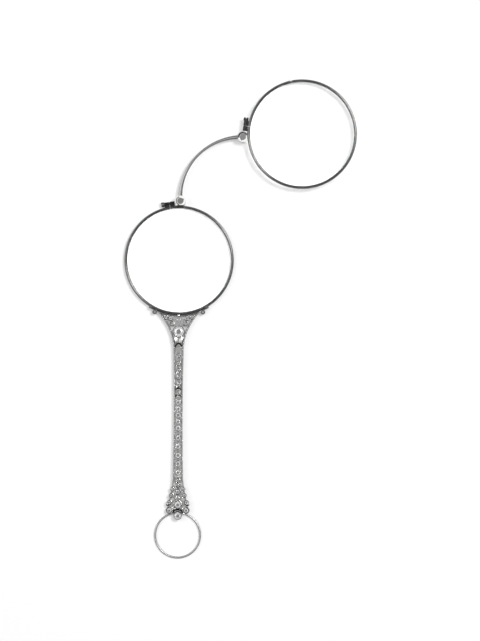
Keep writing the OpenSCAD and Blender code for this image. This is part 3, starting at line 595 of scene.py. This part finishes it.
def stoneCurl(x, y, r, turns, middle, side, grow):
    # a wire along an arc round a stone, whose radius grows along it: radius * (1 + grow * share ** 2)
    t = np.linspace(0, 1, scrolls["steps"])
    first, last = middle + side * turns[0], middle + side * turns[1]
    a = np.radians(first + (last - first) * t)
    out = (r / stones["seat"] + scrolls["off"]) * (1 + grow * t ** 2)
    z = np.full(len(t), plateTop + scrolls["lift"])
    return wire(np.stack([x + out * np.cos(a), y + out * np.sin(a), z], -1), scrolls["wire"])


headWires, plateWires = [], []
for x, y, r, top in allSpots["head_diamonds"]:
    side = 1 if x > axisX else -1
    headWires.append(stoneCurl(x, y, r, scrolls["headTurn"], 90 - side * 90, side, scrolls["headGrow"]))
for name in ("foot_diamonds", "lattice_diamonds"):
    for x, y, r, top in allSpots[name]:
        onSide = 1 if x > axisX + scrolls["middle"] else -1 if x < axisX - scrolls["middle"] else 0
        for side in ((onSide,) if onSide else (-1, 1)):
            plateWires.append(stoneCurl(x, y, r, scrolls["plateTurn"], 90 + side * 90, side,
                                        scrolls["plateGrow"]))
# small leaves as (x, drop, half width, half length, turn), and two bright crescents under the rim
headLeaves = [(4.35, 20.6, 0.24, 0.6, 48), (0.62, 20.95, 0.18, 0.75, 8), (2.35, 22.9, 0.16, 0.5, -40)]
footLeaves = [(0.55, 83.45, 0.28, 0.72, -22), (1.62, 87.3, 0.24, 0.7, 12), (0.75, 80.25, 0.18, 0.45, 20)]
smallLeafShape = {"height": 0.2, "rings": 6}
crescent = {"radius": 19.98, "from": 1.35, "to": 3.95, "wire": 0.17, "thinnest": 0.35, "lift": 0.04,
            "steps": 24}


def smallLeaf(x, drop, across, along, turn):
    # a small dome on either side of the middle line
    return [dome(onHandle(side * x, drop, plateTop), ellipse(across, along, -turn * side),
                 smallLeafShape["height"], smallLeafShape["rings"]) for side in (-1, 1)]


for leaf in headLeaves:
    headWires += smallLeaf(*leaf)
for leaf in footLeaves:
    plateWires += smallLeaf(*leaf)
for side in (-1, 1):
    a = np.linspace(math.asin(crescent["from"] / crescent["radius"]),
                    math.asin(crescent["to"] / crescent["radius"]), crescent["steps"])
    arc = onHandle(side * crescent["radius"] * np.sin(a), crescent["radius"] * np.cos(a),
                   plateTop + crescent["lift"])
    swelling = np.sin(np.linspace(crescent["thinnest"], np.pi - crescent["thinnest"], crescent["steps"]))
    headWires.append(wire(arc, crescent["wire"] * swelling))
addPiece("head_scroll_wires", headWires, "handle", metals["beadPlatinumLit"],
         stands=["head_scrolls"])
addPiece("plate_scroll_wires", plateWires, "handle", metals["beadPlatinumLit"])

leafParts = []
for side in (-1, 1):
    turn = math.radians(leafPair["turn"] * side)

    def vein(x, y):
        # a groove along the leaf's middle, as deep as a bell curve of the distance across
        across = x * math.cos(turn) - y * math.sin(turn)
        return leafPair["vein"] * np.exp(-(across / leafPair["veinWidth"]) ** 2)

    outline = ellipse(leafPair["across"], leafPair["along"], -leafPair["turn"] * side)
    leafParts.append(dome(onHandle(side * leafPair["x"], leafPair["drop"], plateTop), outline,
                          leafPair["height"], crease=vein))
for side in (-1, 1):
    stem = [(side * x, drop) for x, drop in leafPair["stem"]]
    leafParts.append(wire(handlePath(stem, plateTop + leafPair["lift"]), leafPair["stemWire"]))
addPiece("neck_leaf_pair", leafParts, "handle", metals["leafPlatinumShaded"], stands=["neck_leaves"])

# black wires of painted shade: the chevrons, the foot's cups and arch, and the rings round the stones
lineParts = []
elbowX, elbowFall = chevrons["elbow"]
for drop, reach, fall, thick in chevrons["places"]:
    half = [(reach, drop + fall), (reach * elbowX, drop + fall * elbowFall)]
    corners = [(-x, d) for x, d in half] + [(0, drop)] + half[::-1]
    lineParts.append(wire(handlePath(corners, plateTop + chevrons["lift"]), thick, flat=chevrons["flat"]))
for side in (1, -1):
    cup = [(side * x, drop) for x, drop in footLines["cup"]]
    lineParts.append(wire(handlePath(cup, plateTop + footLines["cupLift"]), footLines["cupWire"]))
arch = footLines["arch"] + [(-x, drop) for x, drop in footLines["arch"][-2::-1]]
lineParts.append(wire(handlePath(arch, plateTop + footLines["archLift"]), footLines["archWire"],
                      flat=footLines["archFlat"]))
for name in ("foot_diamonds", "head_diamonds"):
    for x, y, r, top in allSpots[name]:
        lineParts.append(hoop((x, y, plateTop + stoneRing["lift"]), r / stones["seat"] + stoneRing["off"],
                              stoneRing["wire"]))
addPiece("painted_shade_lines", lineParts, "handle", metals["shadeBlack"])
print("scrolls and leaves laid")


# Rims: a half-round wire carried round the oval, cut at the closing screw and bitten out at the catch
rimWire = {"radius": 19.25, "width": 1.0, "height": 1.8, "belly": 0.22, "shoulder": 1.28, "crown": 0.5,
           "crownInset": 0.04, "crownSteps": 15, "foot": 0.1, "sideFrom": 0.12, "sideSteps": 6, "groove": 0.3,
           "slit": 0.15, "bite": 0.63, "biteTurn": 0.04, "biteSteps": 41, "steps": 360, "edgeBand": 0.4,
           "levelBand": 0.01}
lensShape = {"inset": 0.06, "thickness": 1.2, "swell": 0.2, "bevelPlay": 0.01, "rings": 14, "steps": 180}


def rimOval(nodeName):
    # the oval through the rim's outer points at mid height, A xx + B xy + C yy + D x + E y = 1, given as
    # its middle and its two half axes as vectors
    points = nodePoints(nodeName)
    low, high = points.min(0), points.max(0)
    x, y, z = points.T
    far = (np.hypot(x - (low[0] + high[0]) / 2, y - (low[1] + high[1]) / 2)
           > rimWire["radius"] - rimWire["edgeBand"])
    level = abs(z - (low[2] + high[2]) / 2) < rimWire["levelBand"]
    x, y = points[far & level][:, :2].T
    a, b, c, d, e = np.linalg.lstsq(np.stack([x * x, x * y, y * y, x, y], -1), np.ones(len(x)), rcond=None)[0]
    middle = np.linalg.solve([[2 * a, b], [b, 2 * c]], [-d, -e])
    rest = 1 + np.array(middle) @ np.array([[a, b / 2], [b / 2, c]]) @ np.array(middle)
    size, way = np.linalg.eigh(np.array([[a, b / 2], [b / 2, c]]) / rest)
    return middle, way[:, 0] / math.sqrt(size[0]), way[:, 1] / math.sqrt(size[1]), low[2]


def ovalPoints(oval, angle, inset):
    # middle + (1 - inset / mean radius) * (cos angle * one half axis + sin angle * the other)
    middle, first, second = oval[:3]
    radius = (np.linalg.norm(first) + np.linalg.norm(second)) / 2
    ring = np.cos(angle)[..., None] * first + np.sin(angle)[..., None] * second
    return middle + (1 - np.asarray(inset)[..., None] / radius) * ring


def ovalAngle(oval, place):
    # the angle at which the oval faces a place
    middle, first, second = oval[:3]
    away = np.asarray(place) - middle
    return math.atan2(away @ second / (second @ second), away @ first / (first @ first))


def rimProfile():
    # inset from the outer edge and height: a bellied side, a half-round crown, and the glass groove inside
    w, h, foot = rimWire["width"], rimWire["height"], rimWire["foot"]
    low = np.linspace(rimWire["sideFrom"], rimWire["shoulder"], rimWire["sideSteps"])
    outer = np.stack([rimWire["belly"] * (2 * low / h - 1) ** 2, low], -1)
    turn = np.linspace(0, np.pi, rimWire["crownSteps"])[1:-1]
    crown = np.stack([w / 2 - (w / 2 - rimWire["crownInset"]) * np.cos(turn),
                      rimWire["shoulder"] + rimWire["crown"] * np.sin(turn)], -1)
    g = rimWire["groove"]
    inner = [(w, rimWire["shoulder"]), (w, h / 2 + g), (w - g, h / 2), (w, h / 2 - g), (w, foot),
             (w - foot, 0.0), (rimWire["belly"] + foot, 0.0)]
    return np.concatenate([outer, crown, inner])


def rimSurface(oval, slitPlace, catchPlace):
    # the profile at each angle, from one end at the slit to the other; near the catch the profile's inset
    # is at least the catch's bore: sqrt(bite * bite - s * s) less the bore's distance from the edge
    start = ovalAngle(oval, slitPlace)
    gap = rimWire["slit"] / 2 / rimWire["radius"]
    catchAngle = (ovalAngle(oval, catchPlace) - start) % (2 * np.pi)
    near = catchAngle + np.linspace(-1, 1, rimWire["biteSteps"]) * rimWire["biteTurn"]
    angle = np.sort(np.concatenate([np.linspace(gap, 2 * np.pi - gap, rimWire["steps"]), near])) + start
    profile = rimProfile()
    edge = ovalPoints(oval, angle, np.zeros(len(angle)))
    nearest = ovalPoints(oval, np.array([catchAngle + start]), np.zeros(1))[0]
    beyond = np.linalg.norm(np.asarray(catchPlace) - nearest)
    s = np.linalg.norm(edge - nearest, axis=1)
    bite = np.sqrt(np.clip(rimWire["bite"] ** 2 - s ** 2, 0, None)) - beyond
    inset = np.maximum(profile[None, :, 0], bite[:, None])
    flat = ovalPoints(oval, np.broadcast_to(angle[:, None], inset.shape), inset)
    points = np.concatenate([flat, np.broadcast_to(profile[None, :, 1:], inset.shape + (1,))], -1)
    points[..., 2] += oval[3]
    count = len(profile)
    last = (len(angle) - 1) * count
    return (points.reshape(-1, 3), list(gridFaces(len(angle), count))
            + [tuple(range(count)), tuple(last + k for k in range(count))])


def lensSurface(oval):
    # both faces as z = thickness / 2 + swell * (1 - u * u) over the share u of the radius, and a bevel
    t, g = lensShape["thickness"] / 2, rimWire["groove"]
    radius = rimWire["radius"] - (rimWire["width"] + lensShape["inset"])
    u = np.linspace(0, 1, lensShape["rings"])[1:]
    face = t + lensShape["swell"] * (1 - u ** 2)
    rho = np.concatenate([u * radius, [radius + g - lensShape["bevelPlay"]], (u * radius)[::-1]])
    z = np.concatenate([-face, [0], face[::-1]])
    steps = lensShape["steps"]
    angle = np.linspace(0, 2 * np.pi, steps, endpoint=False)
    size = (len(rho), steps)
    flat = ovalPoints(oval, np.broadcast_to(angle, size),
                      np.broadcast_to(rimWire["radius"] - rho[:, None], size))
    points = np.concatenate([flat, np.broadcast_to(z[:, None, None], (*size, 1))], -1).reshape(-1, 3)
    top = t + lensShape["swell"]
    count = len(points)
    first = count - steps
    k = np.arange(steps)
    n = (k + 1) % steps
    lower = [(count, int(b), int(a)) for a, b in zip(k, n)]
    upper = [(count + 1, int(first + a), int(first + b)) for a, b in zip(k, n)]
    points = np.concatenate([points, [[*oval[0], -top], [*oval[0], top]]])
    points[:, 2] += oval[3] + rimWire["height"] / 2
    return points, list(gridFaces(len(rho), steps)) + lower + upper


for side, body in sideBodies.items():
    oval = rimOval(side + "_rim")
    slitPlace = nodePoints(side + "_closing_barrels").mean(0)[:2]
    low, high = nodeBox("catch_button" if side == "fixed" else "catch_lug")
    catchPlace = ((low + high) / 2)[:2]
    addPiece(side + "_rim_wire", [rimSurface(oval, slitPlace, catchPlace)], body,
             metals["wirePlatinumShaded"], smooth=35, stands=[side + "_rim"])
    addPiece(side + "_lens_glass", [lensSurface(oval)], body, lensGlass, smooth=35,
             stands=[side + "_lens"])
print("rims and lenses drawn")


# Bow: an oval bar along its arc between two bored knuckles
bowShape = {"ends": 1.55, "middle": 0.95, "thickness": 1.5, "power": 0.8, "steps": 97, "sides": 24,
            "knuckle": 1.25, "edge": 0.08, "bore": 0.48, "well": 1.0, "wellDepth": 0.9, "turnSteps": 64,
            "start": 1.12, "clear": 0.75, "play": 0.05}


def bowSurface():
    # rings of |cos b| ** power and |sin b| ** power along an arc between the knuckles, wider at both ends
    first, second = pivots["fixed"][:2], pivots["moving"][:2]
    span = np.linalg.norm(second - first)
    along = (second - first) / span
    out = np.array([-along[1], along[0]])
    rise = (rimWire["radius"] + bowShape["clear"] + bowShape["middle"] / 2
            - math.sqrt(hinge["reach"] ** 2 - span ** 2 / 4))
    radius = (span ** 2 / 4 + rise ** 2) / (2 * rise)
    half = math.asin(span / 2 / radius)
    t = np.linspace(-1, 1, bowShape["steps"]) * (half - bowShape["start"] / radius)
    width = bowShape["middle"] + (bowShape["ends"] - bowShape["middle"]) * (t / half) ** 2
    b = np.linspace(0, 2 * np.pi, bowShape["sides"], endpoint=False)
    c, s = np.cos(b), np.sin(b)
    r = radius + width[:, None] / 2 * (np.sign(c) * abs(c) ** bowShape["power"])[None]
    z = (bowShape["thickness"] / 2 - bowShape["play"]) * np.sign(s) * abs(s) ** bowShape["power"]
    middle = (first + second) / 2
    sideways = np.sin(t)[:, None, None] * along
    upwards = (rise - radius + r * np.cos(t)[:, None])[..., None] * out
    flat = middle + r[..., None] * sideways + upwards
    height = np.broadcast_to(((bowLow[2] + bowHigh[2]) / 2 + z)[None, :, None], flat.shape[:2] + (1,))
    last = (len(t) - 1) * len(b)
    ends = [tuple(range(len(b))), tuple(last + k for k in range(len(b)))]
    return np.concatenate([flat, height], -1).reshape(-1, 3), list(gridFaces(len(t), len(b))) + ends


def knuckleSurface(side):
    # a bored eye with a spring well in its top, as a closed profile turned round the hinge's line
    r, e, bore, well = bowShape["knuckle"], bowShape["edge"], bowShape["bore"], bowShape["well"]
    low, high = bowLow[2], bowHigh[2]
    floor = high - bowShape["wellDepth"]
    profile = [(bore, low), (r - e, low), (r, low + e), (r, high - e), (r - e, high), (well, high),
               (well, floor), (bore, floor), (bore, low)]
    return revolve(profile, (*pivots[side][:2], 0), bowShape["turnSteps"])


bowLow, bowHigh = nodeBox("bow")
addPiece("bow_bar", [bowSurface(), knuckleSurface("fixed"), knuckleSurface("moving")], "bow",
         metals["bowPlatinumShaded"], smooth=35, stands=["bow"])
print("bow drawn")


# Hinge ears: a curled black line of painted shade over each wall, and a thin dark edge of painted shade
ears = {"radius": 1.85, "edge": 0.045, "edgeSteps": 64, "line": 1.42, "steps": 40, "lineFlat": 0.3,
        "lineWire": {"fixed": 0.16, "moving": 0.24}, "lineDrop": 0.015, "outerLine": 1.76, "outerWire": 0.084,
        "turns": {"fixed": (100, 255), "moving": (20, 195)}}


def earLine(side, radius, thick):
    # a flattened wire along an arc of one radius, half sunk in the ear's top
    a = np.radians(np.linspace(*ears["turns"][side], ears["steps"]))
    z = np.full(ears["steps"], nodeBox(side + "_hinge_fork")[1][2] - ears["lineDrop"])
    arc = pivots[side][:2] + radius * np.stack([np.cos(a), np.sin(a)], -1)
    return wire(np.column_stack([arc, z]), thick, flat=ears["lineFlat"])


for side, body in sideBodies.items():
    edgeZ = nodeBox(side + "_hinge_fork")[1][2] - ears["edge"]
    parts = [earLine(side, ears["line"], ears["lineWire"][side]),
             hoop((*pivots[side][:2], edgeZ), ears["radius"] - ears["edge"], ears["edge"], ears["edgeSteps"])]
    if side == "moving":
        parts.append(earLine(side, ears["outerLine"], ears["outerWire"]))
    addPiece(side + "_ear_shade_lines", parts, body, metals["shadeBlack"])
print("hinge ears lined")


# Suspension ring: a round wire with a worn joint
ringShape = {"wire": 0.7, "seam": 145, "seamDepth": 0.22, "seamWidth": 0.12, "steps": 240, "sides": 20}
ringLow, ringHigh = nodeBox("suspension_ring")
ringJoint = np.array(joints["ring_swing"]["pos_m"]) / mm
ringR = (ringHigh[0] - ringLow[0] - ringShape["wire"]) / 2


def ringSurface():
    # a ring of wire leaning from its pivot down to the table; a bell curve thins the wire at its joint
    steps, sides = ringShape["steps"], ringShape["sides"]
    a = np.linspace(0, 2 * np.pi, steps, endpoint=False)
    b = np.linspace(0, 2 * np.pi, sides, endpoint=False)
    off = (a - math.radians(ringShape["seam"]) + np.pi) % (2 * np.pi) - np.pi
    dip = ringShape["seamDepth"] * np.exp(-(off * ringR / ringShape["seamWidth"]) ** 2)
    w = ringShape["wire"] / 2 * (1 - dip)
    r = ringR + w[:, None] * np.cos(b)
    lean = math.asin((ringJoint[2] - ringShape["wire"] / 2) / (2 * ringR))
    c, s = math.cos(lean), math.sin(lean)
    x, y, z = r * np.cos(a)[:, None], r * np.sin(a)[:, None] - ringR, w[:, None] * np.sin(b) + 0 * r
    points = np.stack([x, y * c - z * s, y * s + z * c], -1)
    points = points + np.array([(ringLow[0] + ringHigh[0]) / 2, ringJoint[1], ringJoint[2]])
    i = np.arange(steps)[:, None] * sides
    k = np.arange(sides)[None]
    n, m = (i + sides) % (steps * sides), (k + 1) % sides
    return points.reshape(-1, 3), np.stack([i + k, n + k, n + m, i + m], -1).reshape(-1, 4)


addPiece("ring_wire", [ringSurface()], "suspension_ring", metals["ringPlatinumShaded"],
         stands=["suspension_ring"])
print("ring drawn")


# Catch spring: a coil under the button, with a mesh of its own; the real spring shortens as the button is pressed
catchSpring = {"wire": 0.05, "turns": 3, "steps": 144, "sides": 10}


def coilPath(low, high):
    # a helix in the node's box: turns * 2 pi round its middle while z climbs from the lower end to the upper
    t = np.linspace(0, 1, catchSpring["steps"])
    a = 2 * np.pi * catchSpring["turns"] * t
    r = (high[0] - low[0]) / 2 - catchSpring["wire"]
    middle = (low + high) / 2
    z = low[2] + catchSpring["wire"] + (high[2] - low[2] - 2 * catchSpring["wire"]) * t
    return np.stack([middle[0] + r * np.cos(a), middle[1] + r * np.sin(a), z], -1)


springLow, springHigh = nodeBox("catch_spring")
coil = wire(coilPath(springLow, springHigh), catchSpring["wire"], catchSpring["sides"])
spring = addPiece("catch_spring_coil", [coil], "handle", metals["steelMetal"],
                  stands=["catch_spring"])
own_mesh(spring)


# Camera, light and floor
view = {"pixel": 0.352, "height": 641, "centre": (0.06, -0.6), "roll": 0.32, "distance": 900, "film": 36,
        "farthest": 20}


def addCamera():
    camera = bpy.data.cameras.new("camera")
    camera.sensor_fit = "VERTICAL"
    camera.sensor_height = view["film"]
    camera.lens = view["film"] * view["distance"] / (view["pixel"] * view["height"])
    camera.clip_end = view["farthest"]
    holder = bpy.data.objects.new("camera", camera)
    holder.location = (view["centre"][0] * mm, view["centre"][1] * mm, view["distance"] * mm)
    holder.rotation_euler = (0, 0, math.radians(view["roll"]))
    bpy.context.scene.collection.objects.link(holder)
    bpy.context.scene.camera = holder


# Panels in metres and watts; the sky's ramp as (share of the way up, level), and a pale card on one side
studio = {"panels": {"windowPanel": {"place": (0.42, 0.30, 0.85), "size": (0.32, 0.32), "power": 8.0},
                     "fillPanel": {"place": (-0.6, 0.1, 0.6), "size": (0.6, 0.6), "power": 2.3}},
          "sky": [(0.0, 0.6), (0.3, 0.35), (0.5, 0.08), (0.85, 0.08), (0.95, 1.0), (1.0, 1.0)],
          "cardWay": (-0.52, 0.40, 0.75), "cardEdge": (0.72, 0.9), "cardLevel": 0.25}


def addPanel(name, place, size, power):
    lamp = bpy.data.lights.new(name, "AREA")
    lamp.shape = "RECTANGLE"
    lamp.size, lamp.size_y = size
    lamp.energy = power
    holder = bpy.data.objects.new(name, lamp)
    holder.location = place
    holder.rotation_euler = (-Vector(place)).to_track_quat("-Z", "Y").to_euler()
    bpy.context.scene.collection.objects.link(holder)


def addWorld():
    # a bright window overhead, dim between it and the pale horizon; the camera sees it all as white
    world = bpy.data.worlds.new("studio")
    bpy.context.scene.world = world
    world.use_nodes = True
    nodes, links = world.node_tree.nodes, world.node_tree.links
    coords = node(nodes, "ShaderNodeTexCoord")
    split = node(nodes, "ShaderNodeSeparateXYZ")
    links.new(coords.outputs["Generated"], split.inputs["Vector"])
    ramp = node(nodes, "ShaderNodeValToRGB")
    stops = studio["sky"]
    ramp.color_ramp.elements[0].position, ramp.color_ramp.elements[1].position = stops[0][0], stops[-1][0]
    for place, level in stops[1:-1]:
        ramp.color_ramp.elements.new(place)
    for element, (place, level) in zip(ramp.color_ramp.elements, stops):
        element.color = (level, level, level, 1)
    links.new(split.outputs["Z"], ramp.inputs["Fac"])
    # a pale card on one side, as a smooth patch round one direction
    toCard = node(nodes, "ShaderNodeVectorMath", operation="DOT_PRODUCT")
    toCard.inputs[1].default_value = studio["cardWay"]
    links.new(coords.outputs["Generated"], toCard.inputs[0])
    patch = node(nodes, "ShaderNodeMapRange", interpolation_type="SMOOTHSTEP")
    patch.inputs["From Min"].default_value, patch.inputs["From Max"].default_value = studio["cardEdge"]
    patch.inputs["To Max"].default_value = studio["cardLevel"]
    links.new(toCard.outputs["Value"], patch.inputs["Value"])
    card = node(nodes, "ShaderNodeMix", data_type="RGBA", blend_type="ADD")
    card.inputs["Factor"].default_value = 1
    links.new(ramp.outputs["Color"], card.inputs["A"])
    links.new(patch.outputs["Result"], card.inputs["B"])
    path = node(nodes, "ShaderNodeLightPath")
    pick = node(nodes, "ShaderNodeMix", data_type="RGBA")
    pick.inputs["B"].default_value = (1, 1, 1, 1)
    links.new(path.outputs["Is Camera Ray"], pick.inputs["Factor"])
    links.new(card.outputs["Result"], pick.inputs["A"])
    links.new(pick.outputs["Result"], nodes["Background"].inputs["Color"])


boardLook = {"half": 3.0, "grey": 0.58, "roughness": 0.9, "glow": 0.34}


def addFloor():
    # a white board: its own colour takes the shadows, and a glow that only seen rays meet keeps it white
    half, grey = boardLook["half"], boardLook["grey"]
    mesh = bpy.data.meshes.new("board")
    mesh.from_pydata([(x, y, 0) for x in (-half, half) for y in (-half, half)], [], [(0, 2, 3, 1)])
    material, nodes, links, shader = newMaterial("boardPaper")
    shader.inputs["Base Color"].default_value = (grey, grey, grey, 1)
    shader.inputs["Roughness"].default_value = boardLook["roughness"]
    shader.inputs["Specular IOR Level"].default_value = 0
    path = node(nodes, "ShaderNodeLightPath")
    seen = path.outputs["Is Camera Ray"]
    for ray in ("Is Glossy Ray", "Is Transmission Ray"):
        either = node(nodes, "ShaderNodeMath", operation="MAXIMUM")
        links.new(seen, either.inputs[0])
        links.new(path.outputs[ray], either.inputs[1])
        seen = either.outputs["Value"]
    share = node(nodes, "ShaderNodeMath", operation="MULTIPLY")
    share.inputs[1].default_value = boardLook["glow"]
    links.new(seen, share.inputs[0])
    glow = node(nodes, "ShaderNodeEmission")
    links.new(share.outputs["Value"], glow.inputs["Strength"])
    both = node(nodes, "ShaderNodeAddShader")
    links.new(shader.outputs["BSDF"], both.inputs[0])
    links.new(glow.outputs["Emission"], both.inputs[1])
    links.new(both.outputs["Shader"], nodes["Material Output"].inputs["Surface"])
    mesh.materials.append(material)
    board = bpy.data.objects.new("board", mesh)
    bpy.context.scene.collection.objects.link(board)


addCamera()
addWorld()
addFloor()
for name, panel in studio["panels"].items():
    addPanel(name, **panel)
bpy.context.scene.view_settings.view_transform = "Standard"
print("studio set")
